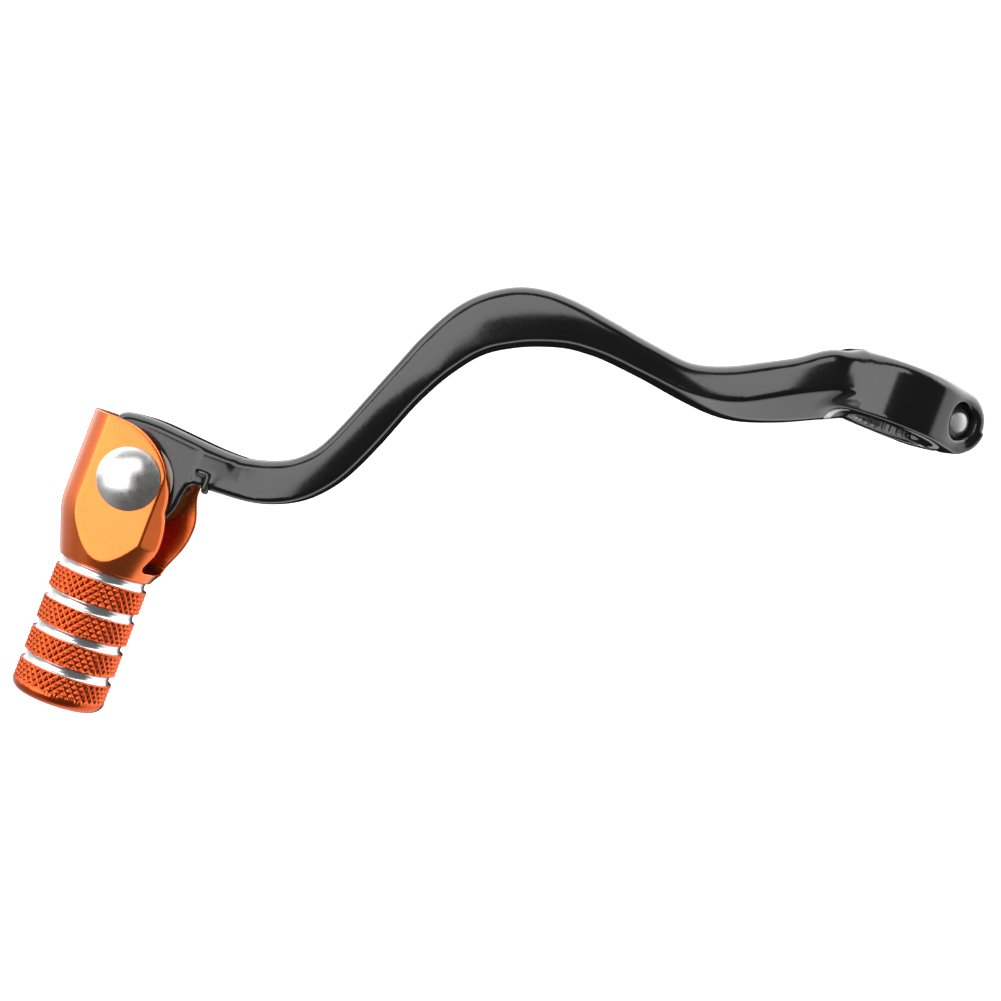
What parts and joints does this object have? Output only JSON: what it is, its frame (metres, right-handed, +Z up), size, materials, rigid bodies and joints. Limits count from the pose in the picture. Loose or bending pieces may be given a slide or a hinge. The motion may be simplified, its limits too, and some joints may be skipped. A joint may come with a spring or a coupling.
{
  "type": "gear shift lever",
  "caption": "Foot gear shift lever: S-curved forged arm with a split splined clamp boss and a sprung folding toe peg with a knurled, grooved grip.",
  "frame": {"origin": "centre of the splined clamp bore, midway between its end faces", "axes": "+Y along the bore towards the engine, so the toe peg points along -Y; +X rearward from the toe peg to the shaft; +Z up"},
  "size_m": [0.1633, 0.1192, 0.0332],
  "materials": {
    "arm": "gloss black anodised forging",
    "peg": "orange anodised, knurled, grooves turned bare",
    "rivet": "polished dome",
    "bush": "turned bronze",
    "washer": "plain nylon",
    "fastener": "bright zinc plate",
    "spring": "oiled spring wire"
  },
  "bodies": {
    "arm": {"lever_arm": "arm", "pivot_bush": "bush", "upper_thrust_washer": "washer", "lower_thrust_washer": "washer", "clamp_bolt": "fastener", "return_spring": "spring"},
    "peg": {"toe_peg": "peg", "pivot_rivet": "rivet", "rivet_washer": "rivet"}
  },
  "joints": [
    {"name": "peg_fold", "type": "hinge", "parent": "arm", "child": "peg", "pos_m": [-0.1317, -0.0673, 0], "axis": [0, 0, 1], "range_deg": [0, 60], "stiffness_Nm_per_rad": 0.12, "springref_deg": -34.38, "deforming": ["return_spring"]}
  ]
}
